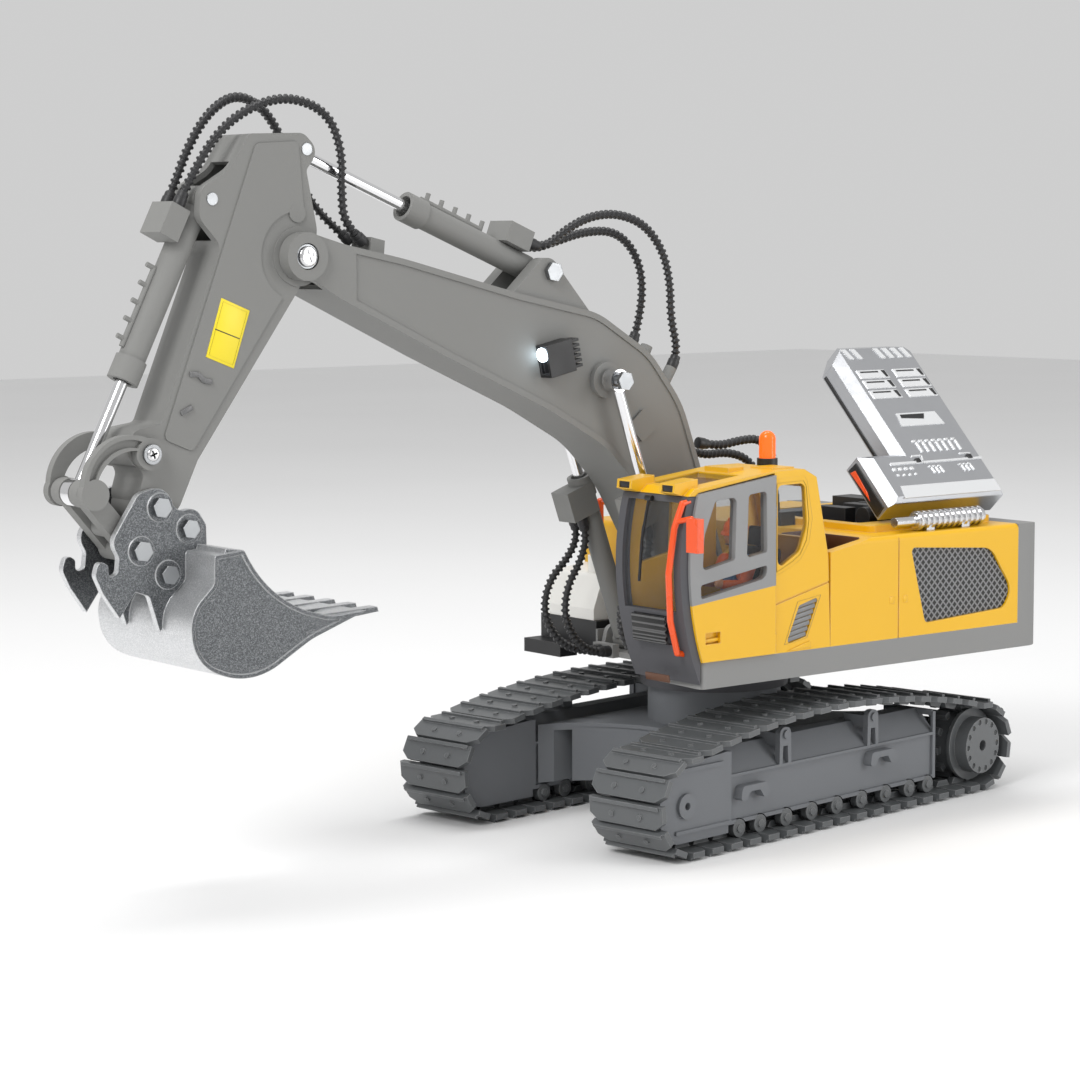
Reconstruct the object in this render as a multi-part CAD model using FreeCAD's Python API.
"""A radio-controlled toy excavator: crawler undercarriage, slewing upper body, boom, arm and bucket.

Millimetres, +X forward along the boom, +Y to the machine's left (the cab side), +Z up.
Everything is drawn with the slewing axis through zero, and moved back by MIDDLE on saving,
so that the origin ends up on the ground under the middle of the whole machine.  The
undercarriage stands turned under the upper body by TRACK_YAW, and is drawn straight first.
"""
import FreeCAD
import Part
import math
import os

V = FreeCAD.Vector

# ---------------------------------------------------------------- driving dimensions
FIT = 0.05              # radial clearance of a pin in its hole
GAP = 0.3               # free gap between pieces that move past each other

MIDDLE = 76.57          # from the slewing axis to the middle of the whole length
TRACK_YAW = 7.3         # how far the tracks are turned to the left under the upper body
TRACK_CENTRE = 45.8     # centre line of each track belt from the middle plane
SHOE_WIDTH = 32.4
SHOE_THICK = 2.0
LIP = 1.0               # height of the grouser lip on each shoe
SHOE_LENGTH = 8.1
RAIL_HEIGHT = 2.0       # chain rails on the inside of the shoes
SHOES = 45
IDLER_X = 80.8
IDLER_RADIUS = 17.8     # outside radius of the belt round the idler
SPROCKET_X = -81.5
SPROCKET_RADIUS = 17.0  # outside radius of the belt round the sprocket
BELT_CREST = 44.0
ROAD_WHEEL_RADIUS = 3.1
ROAD_WHEEL_X = (-52.9, -41.9, -27.9, -14.0, 0.0, 14.0, 27.9, 41.9, 52.9)
FRAME_FRONT = 58.9      # where the long panel of a track frame meets its front box
FRAME_REAR = -57.0
PEDESTAL_RADIUS = 24.0
SLEW_RADIUS = 26.6
SLEW_LOW = 44.0
SLEW_TOP = 50.0
KING_POST = 8.0

SKIRT_LOW = 54.4
SKIRT_TOP = 63.4
DECK = 99.8
HALF_WIDTH = 61.0
WALL = 2.0
SIDE_REAR = -94.0       # rear end of the side panels, where the counterweight starts
TAIL = -107.0           # rear corners of the counterweight
TAIL_MIDDLE = -112.0
FLOOR_FRONT = 34.0      # front edge of the floor below the boom foot
RIGHT_FRONT = 12.0      # front of the right hand body, where the step box starts
CHANNEL = 25.0          # half width of the open channel for the boom

CAB_RIGHT = 28.0
CAB_REAR = 1.1
CAB_ROOF = 125.6
DOOR_HINGE = 27.8
DOOR_GAP = 0.15         # round the door, and over it where the roof falls
DOOR_TOP_GAP = 0.6
KNUCKLE = 0.9           # radius of the door's hinge knuckles
CAB_FRAME = 3.4         # depth of the front frame along X

HOOD_AXIS = (43.0, 103.2)   # y, z of the hood's hinge
HOOD_OPEN = 46.6
HOOD_WIDTH = 75.0
HOOD_DEPTH = 10.7
HOOD_FRONT = -56.5      # front of its wide part
HOOD_NOSE = -39.7       # front of the narrow part beside the hinge
NOSE_WIDTH = 23.3
HOOD_REAR = -98.3
HOOD_WALL = 2.2
HOOD_SLOPE = 3.6        # the sloped border round its top
HOOD_BAY = (-88.0, -35.0, -20.0, 38.0)   # x and y range of the deck opening
MANIFOLD_X = -25.5

BOOM_HALF = 11.5
BOOM_RIM = 0.6
BOOM_FOOT = (10.0, 74.0)
ARM_PIVOT = (183.6, 198.6)
EAR_FACE = 14.0         # outer faces of the boom's fork
ARM_HALF = 8.5
ARM_GAP = 0.6           # side gap between the arm and the boom's fork
CYL_SIDE = 17.5         # the boom cylinders' plane
CYL_FOOT = (27.2, 60.0)
CYL_HEAD = (61.2, 155.7)
ARM_CYL_FOOT = (83.0, 192.7)
ARM_CYL_HEAD = (179.9, 232.1)
BUCKET_CYL_FOOT = (215.0, 216.4)
ROCKER_PIVOT = (240.3, 139.3)
ROD_PIN = (259.7, 128.0)
BUCKET_PIVOT = (237.3, 122.9)
LINK_PIN = (244.2, 110.0)
BARREL_RADIUS = 4.3
ROD_RADIUS = 2.0
GLAND_CLEARANCE = 1.1   # the rods run loose in their glands
ARM_GLAND = 1.6         # the arm cylinder swings a little, so its bore is wider
PIN_RADIUS = 2.0
EAR_THICK = 2.4
BUCKET_HALF = 27.5
HOSE = 3.2              # outer diameter of the corrugated hoses

os.makedirs("parts", exist_ok=True)


# ---------------------------------------------------------------- helpers
def wire_of(points, place):
    """Closed wire through (a, b, corner radius) points, corners rounded by tangent arcs."""
    corners = []
    count = len(points)
    for i in range(count):
        here = place(points[i][0], points[i][1])
        before = place(points[i - 1][0], points[i - 1][1])
        after = place(points[(i + 1) % count][0], points[(i + 1) % count][1])
        radius = points[i][2] if len(points[i]) > 2 else 0.0
        if radius <= 0:
            corners.append((here, None, here))
            continue
        u = (before - here).normalize()
        w = (after - here).normalize()
        half = u.getAngle(w) / 2
        cut = radius / math.tan(half)
        bisector = (u + w).normalize()
        centre = here + bisector * (radius / math.sin(half))
        corners.append((here + u * cut, centre - bisector * radius, here + w * cut))
    edges = []
    for i in range(count):
        start, middle, end = corners[i]
        if middle is not None:
            edges.append(Part.Arc(start, middle, end).toShape())
        following = corners[(i + 1) % count][0]
        if end.distanceToPoint(following) > 1e-4:
            edges.append(Part.LineSegment(end, following).toShape())
    return Part.Wire(edges)


def side_plate(points, y0, y1):
    """Outline in the XZ plane, thick from y0 to y1."""
    face = Part.Face(wire_of(points, lambda a, b: V(a, y0, b)))
    return face.extrude(V(0, y1 - y0, 0))


def floor_plate(points, z0, z1):
    """Outline in the XY plane, thick from z0 to z1."""
    face = Part.Face(wire_of(points, lambda a, b: V(a, b, z0)))
    return face.extrude(V(0, 0, z1 - z0))


def cross_section(points, x0, x1):
    """Outline in the YZ plane, thick from x0 to x1."""
    face = Part.Face(wire_of(points, lambda a, b: V(x0, a, b)))
    return face.extrude(V(x1 - x0, 0, 0))


def block(x0, x1, y0, y1, z0, z1):
    return Part.makeBox(x1 - x0, y1 - y0, z1 - z0, V(x0, y0, z0))


def across(centre, radius, y0, y1):
    """Round bar along Y at centre (x, z)."""
    return Part.makeCylinder(radius, y1 - y0, V(centre[0], y0, centre[1]), V(0, 1, 0))


def upright(x, y, radius, z0, z1):
    return Part.makeCylinder(radius, z1 - z0, V(x, y, z0))


def bar(start, end, radius):
    return Part.makeCylinder(radius, (end - start).Length, start, end - start)


def ring(centre, radius, bore, y0, y1):
    return across(centre, radius, y0, y1).cut(across(centre, bore, y0 - 1, y1 + 1))


def hexagon(centre, radius, y0, y1):
    points = []
    for i in range(6):
        angle = math.radians(60 * i + 10)
        points.append((centre[0] + radius * math.cos(angle), centre[1] + radius * math.sin(angle)))
    return side_plate(points, y0, y1)


def mirrored(shape):
    return shape.mirror(V(0, 0, 0), V(0, 1, 0))


def fuse(shapes):
    return shapes[0].multiFuse(shapes[1:]).removeSplitter()


def both(shape):
    return [shape, mirrored(shape)]


def inset(points, amount, y0, y1):
    """The same side outline pulled in by amount."""
    face = Part.Face(wire_of(points, lambda a, b: V(a, y0, b)))
    inner = face.makeOffset2D(-amount)
    return inner.extrude(V(0, y1 - y0, 0))


def moulded(points, y0, y1, wall, rim):
    """Half of a clamshell arm: hollow towards y0, closed at y1, with a raised rim round the face."""
    outer = side_plate(points, y0, y1 + rim)
    hollow = inset(points, wall, y0 - 1, y1 - wall)
    face_pocket = inset(points, wall, y1, y1 + rim + 1)
    return outer.cut(hollow).cut(face_pocket)


def along(a, b, distance):
    """Point on the line from a towards b, in the XZ plane."""
    length = math.dist(a, b)
    return (a[0] + (b[0] - a[0]) * distance / length, a[1] + (b[1] - a[1]) * distance / length)


def at(point, y):
    return V(point[0], y, point[1])


def save(name, shapes, undercarriage=False):
    pieces = shapes if isinstance(shapes, list) else [shapes]
    solids = []
    for piece in pieces:
        moved = piece.copy()
        if undercarriage:
            moved.rotate(V(0, 0, 0), V(0, 0, 1), TRACK_YAW)
        moved.translate(V(-MIDDLE, 0, 0))
        solids.extend(moved.Solids)
    result = solids[0] if len(solids) == 1 else Part.makeCompound(solids)
    result.exportStep("parts/" + name + ".step")
    print(name, len(solids), "solids", round(result.Volume, 1), "mm3")


# ---------------------------------------------------------------- undercarriage
IDLER = (IDLER_X, IDLER_RADIUS)
SPROCKET = (SPROCKET_X, SPROCKET_RADIUS)
RAIL_TOP = LIP + SHOE_THICK + RAIL_HEIGHT
SHOE_IN = LIP + SHOE_THICK
WHEEL_Z = SHOE_IN + ROAD_WHEEL_RADIUS
OUT_FACE = TRACK_CENTRE + 11.2      # outer face of the track frames
IN_FACE = TRACK_CENTRE - 11.2


def belt_edges():
    bottom = Part.LineSegment(V(SPROCKET_X, 0, 0), V(IDLER_X, 0, 0))
    front = Part.Arc(V(IDLER_X, 0, 0), V(IDLER_X + IDLER_RADIUS, 0, IDLER_RADIUS),
                     V(IDLER_X, 0, 2 * IDLER_RADIUS))
    top = Part.Arc(V(IDLER_X, 0, 2 * IDLER_RADIUS), V(-5, 0, BELT_CREST),
                   V(SPROCKET_X, 0, 2 * SPROCKET_RADIUS))
    rear = Part.Arc(V(SPROCKET_X, 0, 2 * SPROCKET_RADIUS),
                    V(SPROCKET_X - SPROCKET_RADIUS, 0, SPROCKET_RADIUS), V(SPROCKET_X, 0, 0))
    return [e.toShape() for e in (bottom, front, top, rear)]


def track_link():
    """One shoe with its two chain rails, drawn lying on the ground at the origin."""
    half = SHOE_WIDTH / 2
    plan = [(-SHOE_LENGTH / 2, -half + 3.5), (-1.5, -half), (SHOE_LENGTH / 2, -half),
            (SHOE_LENGTH / 2, half), (-1.5, half), (-SHOE_LENGTH / 2, half - 3.5)]
    pieces = [floor_plate(plan, LIP, SHOE_IN)]
    pieces.append(block(SHOE_LENGTH / 2 - 1.3, SHOE_LENGTH / 2, 1.2 - half, half - 1.2, 0, LIP))
    for side in (-6.2, 6.2):
        profile = [(-3.9, SHOE_IN), (3.9, SHOE_IN), (2.6, RAIL_TOP), (-2.6, RAIL_TOP)]
        pieces.append(side_plate(profile, side - 1.25, side + 1.25))
        pieces.append(upright(-0.6, side, 1.0, LIP - 0.6, LIP))
    return fuse(pieces).translate(V(0, TRACK_CENTRE, 0))


def track_belt():
    edges = belt_edges()
    total = sum(e.Length for e in edges)
    link = track_link()
    below = block(-200, 200, 0, 100, -5, 0)     # the turning shoes don't dig in
    links = []
    for i in range(SHOES):
        s = (i + 0.5) * total / SHOES
        for edge in edges:
            if s <= edge.Length:
                break
            s -= edge.Length
        parameter = edge.getParameterByLength(s)
        place = edge.valueAt(parameter)
        tangent = edge.tangentAt(parameter)
        angle = math.degrees(math.atan2(tangent.z, tangent.x))
        piece = link.copy()
        piece.rotate(V(0, 0, 0), V(0, -1, 0), angle)
        piece.translate(place)
        links.append(piece.cut(below))
    return links


def track_frame():
    """Long box with a sloping shoulder, a front box with the idler slot, ribs and brackets."""
    low = 8.0
    shoulder = [(IN_FACE + 1, low), (IN_FACE + 1, 25), (IN_FACE + 8, 33), (OUT_FACE - 8, 33),
                (OUT_FACE - 1, 25), (OUT_FACE - 1, low)]
    inner = [(IN_FACE + 3, low + 2), (IN_FACE + 3, 24.2), (IN_FACE + 9, 31), (OUT_FACE - 9, 31),
             (OUT_FACE - 3, 24.2), (OUT_FACE - 3, low + 2)]
    body = cross_section(shoulder, FRAME_REAR, FRAME_FRONT)
    body = body.cut(cross_section(inner, FRAME_REAR + 2, FRAME_FRONT - 2))
    nose = [(FRAME_FRONT, 5.4), (93.2, 5.4, 9.5), (93.2, 30.6, 11), (FRAME_FRONT, 33.2)]
    front = side_plate(nose, IN_FACE, OUT_FACE)
    slot = block(64, 100, TRACK_CENTRE - 8.4, TRACK_CENTRE + 8.4, 0, 50)
    pieces = [body, front.cut(slot)]
    for y0, y1 in ((IN_FACE, IN_FACE + 1), (OUT_FACE - 1, OUT_FACE)):
        pieces.append(block(FRAME_REAR, FRAME_REAR + 1.6, y0, y1, low, 32.5))
        pieces.append(block(FRAME_FRONT - 1.6, FRAME_FRONT, y0, y1, low, 33))
        pieces.append(block(FRAME_REAR + 1.6, FRAME_FRONT - 1.6, y0, y1, low, low + 1.3))
        pieces.append(block(FRAME_REAR + 1.6, FRAME_FRONT - 1.6, y0, y1, 24, 25))
    for x in (FRAME_REAR + 0.8, FRAME_FRONT - 0.8):
        pieces.append(block(x - 0.8, x + 0.8, TRACK_CENTRE - 10.2, TRACK_CENTRE + 10.2, 31, 33))
    # rail along the front box, boss of the idler bolt and the rib under it
    pieces.append(block(62, 84, OUT_FACE, OUT_FACE + 0.8, 29, 30.4))
    pieces.append(block(FRAME_FRONT, 86, OUT_FACE, OUT_FACE + 0.8, 8.6, 9.8))
    pieces.append(across(IDLER, 4.2, OUT_FACE, OUT_FACE + 1.2))
    # hangers for the road wheel axles
    for x in ROAD_WHEEL_X:
        pieces.append(block(x - 2.2, x + 2.2, TRACK_CENTRE - 4.4, TRACK_CENTRE + 4.4, RAIL_TOP, low))
    # carrier brackets under the top run of the belt
    for x in (28.8, -20.0):
        foot = [(x - 3.2, 24.5), (x - 1.6, 24.5), (x - 1.2, 31), (x + 1.2, 31), (x + 1.6, 24.5),
                (x + 3.2, 24.5), (x + 2.9, 37.5, 2.4), (x - 2.9, 37.5, 2.4)]
        pieces.append(side_plate(foot, OUT_FACE - 2.2, OUT_FACE))
        pieces.append(block(x - 2.4, x + 2.4, TRACK_CENTRE, OUT_FACE - 2.2, 31, 35.5))
        pieces.append(across((x, 35), 1.5, OUT_FACE, OUT_FACE + 0.8))
    # step handles on the panel
    for x, z in ((47.5, 18.4), (-23.2, 20.4)):
        grip = [(x - 7.5, z - 2.6, 1.2), (x - 4.6, z - 2.6, 0.4), (x - 2.6, z + 0.2, 1.5),
                (x + 2.6, z + 0.2, 1.5), (x + 4.6, z - 2.6, 0.4), (x + 7.5, z - 2.6, 1.2),
                (x + 6.6, z + 2.4, 1.8), (x - 6.6, z + 2.4, 1.8)]
        pieces.append(side_plate(grip, OUT_FACE - 1.0, OUT_FACE + 2.4))
    # arm that carries the sprocket, on the inner side
    carrier = [(FRAME_REAR, 9), (SPROCKET_X, 9, 4), (SPROCKET_X - 9, 12, 5), (SPROCKET_X - 9, 22, 5),
               (SPROCKET_X, 25, 4), (FRAME_REAR, 30)]
    pieces.append(side_plate(carrier, IN_FACE, IN_FACE + 3.2))
    pieces.append(across(SPROCKET, 7.5, IN_FACE + 3.2, IN_FACE + 6.6))
    pieces.append(across(SPROCKET, 3.0, IN_FACE + 6.6, OUT_FACE + 1.0))
    pieces.append(across(IDLER, 3.0, TRACK_CENTRE - 8.4, TRACK_CENTRE + 8.4))
    frame = fuse(pieces)
    for x in ROAD_WHEEL_X:
        frame = frame.cut(across((x, WHEEL_Z), 1.0 + FIT, IN_FACE - 2, OUT_FACE + 2))
        for sign in (-1, 1):
            middle = TRACK_CENTRE + sign * 9.9
            frame = frame.cut(across((x, WHEEL_Z), ROAD_WHEEL_RADIUS + GAP, middle - 1.8, middle + 1.8))
    frame = frame.cut(across(IDLER, 1.3, OUT_FACE - 2, OUT_FACE + 3))
    return frame


def road_wheels():
    """Nine small rollers on through axles."""
    wheels = []
    for x in ROAD_WHEEL_X:
        centre = (x, WHEEL_Z)
        axle = across(centre, 1.0, TRACK_CENTRE - 11.6, TRACK_CENTRE + 11.6)
        pieces = [axle]
        for sign in (-1, 1):
            near = TRACK_CENTRE + sign * 8.4
            far = TRACK_CENTRE + sign * 11.0
            pieces.append(across(centre, ROAD_WHEEL_RADIUS, min(near, far), max(near, far)))
            hub = TRACK_CENTRE + sign * 11.6
            pieces.append(across(centre, 1.4, min(far, hub), max(far, hub)))
        wheels.append(fuse(pieces))
    return wheels


def sprocket():
    """Drum with a toothed middle, a flange and the bolted hub disc."""
    belt_in = SPROCKET_RADIUS - RAIL_TOP
    start = IN_FACE + 7.0
    teeth = []
    for i in range(11):
        angle = math.radians(i * 360 / 11)
        tip = block(-1.3, 1.3, TRACK_CENTRE - 4, TRACK_CENTRE + 4, 0, belt_in + 1.7)
        tip.rotate(V(0, 0, 0), V(0, 1, 0), math.degrees(angle))
        teeth.append(tip.translate(V(SPROCKET[0], 0, SPROCKET[1])))
    drum = across(SPROCKET, belt_in - 0.3, start, OUT_FACE - 2)
    flange = across(SPROCKET, belt_in + 1.3, TRACK_CENTRE + 7.9, TRACK_CENTRE + 9.4)
    hub = across(SPROCKET, 10.3, OUT_FACE - 2, OUT_FACE + 3.6)
    wheel = fuse([drum, flange, hub] + teeth)
    for i in range(14):
        angle = 2 * math.pi * i / 14
        spot = (SPROCKET[0] + 8.9 * math.cos(angle), SPROCKET[1] + 8.9 * math.sin(angle))
        wheel = wheel.cut(across(spot, 1.05, OUT_FACE + 3.0, OUT_FACE + 5))
    return wheel.cut(across(SPROCKET, 3.0 + FIT, IN_FACE, OUT_FACE + 1.1)).cut(
        across(SPROCKET, 2.0, OUT_FACE, OUT_FACE + 5))


def idler():
    belt_in = IDLER_RADIUS - RAIL_TOP
    wheel = across(IDLER, belt_in - 0.3, TRACK_CENTRE - 7.9, TRACK_CENTRE + 7.9)
    rib = across(IDLER, belt_in + 1.3, TRACK_CENTRE - 4, TRACK_CENTRE + 4)
    return wheel.fuse(rib).removeSplitter().cut(across(IDLER, 3.0 + FIT, 0, 80))


def centre_frame():
    """Bridge between the track frames: arched front and rear walls, pedestal and king post."""
    edge = IN_FACE
    front_x = 56.0
    rear_x = -50.0

    def plan(pull):
        a = V(front_x - pull, edge - pull, 0)
        b = V(front_x - pull, -edge + pull, 0)
        c = V(rear_x + pull, -edge + pull, 0)
        d = V(rear_x + pull, edge - pull, 0)
        edges = [Part.Arc(a, V(31 - pull, 0, 0), b).toShape(), Part.LineSegment(b, c).toShape(),
                 Part.Arc(c, V(-31 + pull, 0, 0), d).toShape(), Part.LineSegment(d, a).toShape()]
        return Part.Face(Part.Wire(edges))

    outer = plan(0).translate(V(0, 0, 10)).extrude(V(0, 0, 21))
    lip = plan(-0.6).translate(V(0, 0, 29.6)).extrude(V(0, 0, 1.4))
    lip = lip.common(block(-90, 90, -edge, edge, 0, 60))
    inner = plan(2.4).translate(V(0, 0, 8)).extrude(V(0, 0, 20.6))
    pedestal = upright(0, 0, PEDESTAL_RADIUS, 31, SLEW_LOW)
    post = upright(0, 0, KING_POST, SLEW_LOW, SKIRT_LOW + WALL)
    body = fuse([outer.cut(inner), lip, pedestal, post])
    return body.cut(upright(0, 0, 4.0, 0, 90))


def slew_gear():
    gear = upright(0, 0, SLEW_RADIUS, SLEW_LOW, SLEW_TOP).cut(upright(0, 0, 13.0, 40, 60))
    notches = []
    for i in range(30):
        angle = 2 * math.pi * i / 30
        notches.append(upright(13.6 * math.cos(angle), 13.6 * math.sin(angle), 0.9, 40, 60))
    return gear.cut(Part.makeCompound(notches))


def drive_motors():
    """One motor in each track frame."""
    y = TRACK_CENTRE
    can = Part.makeCylinder(7.0, 24, V(FRAME_REAR + 8, y, 19.5), V(1, 0, 0))
    shaft = Part.makeCylinder(1.0, 5, V(FRAME_REAR + 3, y, 19.5), V(1, 0, 0))
    return both(fuse([can, shaft]))


# ---------------------------------------------------------------- upper body
def base_tray():
    """Grey floor and skirt, with the hollow counterweight and the boom foot lugs on it."""
    plan = [(60.6, HALF_WIDTH, 2), (58.0, CAB_RIGHT - 0.5, 4), (FLOOR_FRONT, CAB_RIGHT - 0.5),
            (FLOOR_FRONT, -CHANNEL - 1), (RIGHT_FRONT, -CHANNEL - 1), (RIGHT_FRONT, -HALF_WIDTH, 1),
            (TAIL, -HALF_WIDTH, 9), (TAIL_MIDDLE, -30, 25), (TAIL_MIDDLE, 30, 25),
            (TAIL, HALF_WIDTH, 9)]
    skirt = floor_plate(plan, SKIRT_LOW, SKIRT_TOP)
    hollow = Part.Face(wire_of(plan, lambda a, b: V(a, b, SKIRT_LOW + WALL)))
    hollow = hollow.makeOffset2D(-WALL).extrude(V(0, 0, 20))
    tray = skirt.cut(hollow)
    tray = tray.cut(block(14, 80, -CHANNEL, CAB_RIGHT - 2.6, SKIRT_LOW + WALL, 80))
    tail_plan = floor_plate([(SIDE_REAR, -HALF_WIDTH)] + plan[6:] + [(SIDE_REAR, HALF_WIDTH)],
                            SKIRT_LOW, DECK + 5)
    profile = [(SIDE_REAR, SKIRT_LOW), (-106.5, SKIRT_LOW, 4), (-112.0, 73.5, 30), (-107.5, DECK - 0.4, 3),
               (SIDE_REAR, DECK)]
    tail = tail_plan.common(side_plate(profile, -70, 70))
    tail_hollow = block(-102, SIDE_REAR - WALL, -54, 54, SKIRT_LOW + WALL, DECK - 4)
    boss = upright(0, 0, SLEW_RADIUS - 0.8, SLEW_TOP + GAP, SKIRT_LOW)
    body = fuse([tray.cut(block(-130, SIDE_REAR, -90, 90, 0, 200)), tail.cut(tail_hollow), boss])
    body = body.cut(upright(0, 0, KING_POST + FIT, 0, 70))
    lugs = []
    for y in (BOOM_HALF + 0.8, -BOOM_HALF - 3.3):
        ear = [(-8, SKIRT_LOW + WALL), (24, SKIRT_LOW + WALL), (BOOM_FOOT[0] + 9, BOOM_FOOT[1] + 8, 7),
               (BOOM_FOOT[0] - 9, BOOM_FOOT[1] + 8, 7)]
        lugs.append(side_plate(ear, y, y + 2.5))
    for y in (CYL_SIDE + 4.7, -CYL_SIDE - 6.7):
        ear = [(CYL_FOOT[0] - 6, SKIRT_LOW + WALL), (FLOOR_FRONT - 0.5, SKIRT_LOW + WALL),
               (CYL_FOOT[0] + 4, CYL_FOOT[1] + 5, 3.5), (CYL_FOOT[0] - 4, CYL_FOOT[1] + 5, 3.5)]
        lugs.append(side_plate(ear, y, y + 2.0))
    for y in (CYL_SIDE - 4.5, -CYL_SIDE - 6.5):
        lugs.append(block(FLOOR_FRONT, FLOOR_FRONT + 3, y, y + 11, SKIRT_LOW, SKIRT_LOW + 4.8))
    body = fuse([body] + lugs)
    body = body.cut(across(BOOM_FOOT, 3.0 + FIT, -40, 40))
    return body.cut(across(CYL_FOOT, PIN_RADIUS + FIT, -40, 40))


def grille_outline():
    return [(-38.2, 95.0, 1.5), (-79.6, 92.0, 8), (-91.2, 75.8, 6), (-86.5, 69.6, 4), (-45.6, 67.6, 2)]


def upper_shell():
    """Yellow body: side panels, deck with the hood opening and its raised rim."""
    plan = [(CAB_REAR, HALF_WIDTH), (CAB_REAR, CHANNEL + 1), (-20, CHANNEL + 1), (-20, -CHANNEL - 1),
            (RIGHT_FRONT, -CHANNEL - 1, 3), (RIGHT_FRONT, -HALF_WIDTH, 3), (SIDE_REAR, -HALF_WIDTH),
            (SIDE_REAR, HALF_WIDTH)]
    outer = floor_plate(plan, SKIRT_TOP, DECK)
    edges = [e for e in outer.Edges if all(abs(v.Z - DECK) < 1e-3 for v in e.Vertexes)
             and abs(e.CenterOfMass.y) > HALF_WIDTH - 0.1]
    outer = outer.makeFillet(2.0, edges)
    hollow = Part.Face(wire_of(plan, lambda a, b: V(a, b, SKIRT_TOP - 1))).makeOffset2D(-WALL)
    hollow = hollow.extrude(V(0, 0, DECK - WALL - SKIRT_TOP + 1))
    low_part = block(-24, 40, CHANNEL, 80, 90.0, 120)
    shell = outer.cut(hollow.cut(low_part))
    # the deck falls towards the cab on the left, with a pocket for the air intake
    fall = side_plate([(CAB_REAR + 1, 96.0), (-20, DECK), (CAB_REAR + 1, DECK + 3)], CHANNEL, 70)
    pocket = block(-17, -1.5, 33, 57, 91.5, 110)
    shell = shell.cut(fall).cut(pocket)
    rim_outer = floor_plate([(-30, 49, 3), (-97 + 4, 49, 3), (-93, -24, 3), (-30, -24, 3)], DECK, DECK + 2.4)
    x0, x1, y0, y1 = HOOD_BAY
    opening = floor_plate([(x0, y0, 2), (x1, y0, 2), (x1, y1, 2), (x0, y1, 2)], 90, DECK + 10)
    shell = fuse([shell, rim_outer]).cut(opening)
    shell = shell.cut(block(x1 - 1, x1 + 8, -4 - FIT, 4 + FIT, DECK, DECK + 5))
    # grille windows, and the seat for the mesh panels
    window = side_plate(grille_outline(), -80, 80)
    shell = shell.cut(window)
    for y in (HALF_WIDTH - 0.4, -HALF_WIDTH - 0.6):
        shell = shell.cut(block(-32.4, -31.9, y, y + 1, SKIRT_TOP, DECK))
    return shell


def side_grilles():
    plate = inset(grille_outline(), FIT, HALF_WIDTH - WALL, HALF_WIDTH - 0.9)
    return both(plate)


def in_hood(a, b, x):
    """Point of the opened hood: a along it from the hinge, b out of its face."""
    angle = math.radians(HOOD_OPEN)
    y = HOOD_AXIS[0] - a * math.cos(angle) + b * math.sin(angle)
    z = HOOD_AXIS[1] + a * math.sin(angle) + b * math.cos(angle)
    return V(x, y, z)


def hood_block(front, width, shrink):
    """Box with sloped upper borders, from the hinge line inwards; shrink makes its hollow."""
    y0, z0 = HOOD_AXIS
    top = z0 + HOOD_DEPTH - shrink
    slope = HOOD_SLOPE - shrink / 2
    rear, front, near, far = HOOD_REAR + shrink, front - shrink, y0 - shrink, y0 - width + shrink
    low = z0 - (1 if shrink else 0)
    ends = [(near, low), (near, top - slope / 2, 1), (near - slope / 2, top), (far + slope, top),
            (far, top - slope), (far, low)]
    sides = [(rear, low), (rear, top - slope / 2), (rear + slope / 2, top), (front - slope, top),
             (front, top - slope), (front, low)]
    return cross_section(ends, rear, front).common(side_plate(sides, far - 1, near + 1))


def hood():
    """Silver engine hood, drawn shut above its hinge line and swung open."""
    y0, z0 = HOOD_AXIS
    far = y0 - HOOD_WIDTH
    cap = hood_block(HOOD_FRONT, HOOD_WIDTH, 0)
    corners = [(HOOD_REAR - 1, y0 + 1), (HOOD_REAR - 1, far + 9), (HOOD_REAR + 8, far - 1),
               (HOOD_FRONT - 9, far - 1), (HOOD_FRONT + 1, far + 9), (HOOD_FRONT + 1, y0 + 1)]
    cap = cap.common(floor_plate(corners, z0 - 1, z0 + 20))
    shape = fuse([cap, hood_block(HOOD_NOSE, NOSE_WIDTH, 0)])
    inner = [(HOOD_REAR, y0), (HOOD_REAR, far + 11), (HOOD_REAR + 10, far + 1), (HOOD_FRONT - 11, far + 1),
             (HOOD_FRONT, far + 12), (HOOD_FRONT, y0)]
    shape = shape.cut(hood_block(HOOD_FRONT, HOOD_WIDTH, HOOD_WALL).common(floor_plate(inner, z0 - 2, z0 + 20)))
    shape = shape.cut(hood_block(HOOD_NOSE, NOSE_WIDTH, HOOD_WALL))
    shape.rotate(V(0, y0, z0), V(1, 0, 0), -HOOD_OPEN)
    return shape.removeSplitter()


def muffler():
    """Ribbed silencer lying on the deck beside the hood rim."""
    y, z = 54.8, DECK + 3.6
    pieces = [Part.makeCylinder(2.9, 34, V(-80, y, z), V(1, 0, 0))]
    for i in range(12):
        pieces.append(Part.makeCylinder(3.5, 1.3, V(-78.8 + i * 2.8, y, z), V(1, 0, 0)))
    pieces.append(Part.makeCylinder(1.8, 10, V(-46, y, z), V(1, 0, 0)))
    pieces.append(block(-72, -68, y - 2.5, y + 2.5, DECK, z))
    pieces.append(block(-54, -50, y - 2.5, y + 2.5, DECK, z))
    return fuse(pieces)


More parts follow.
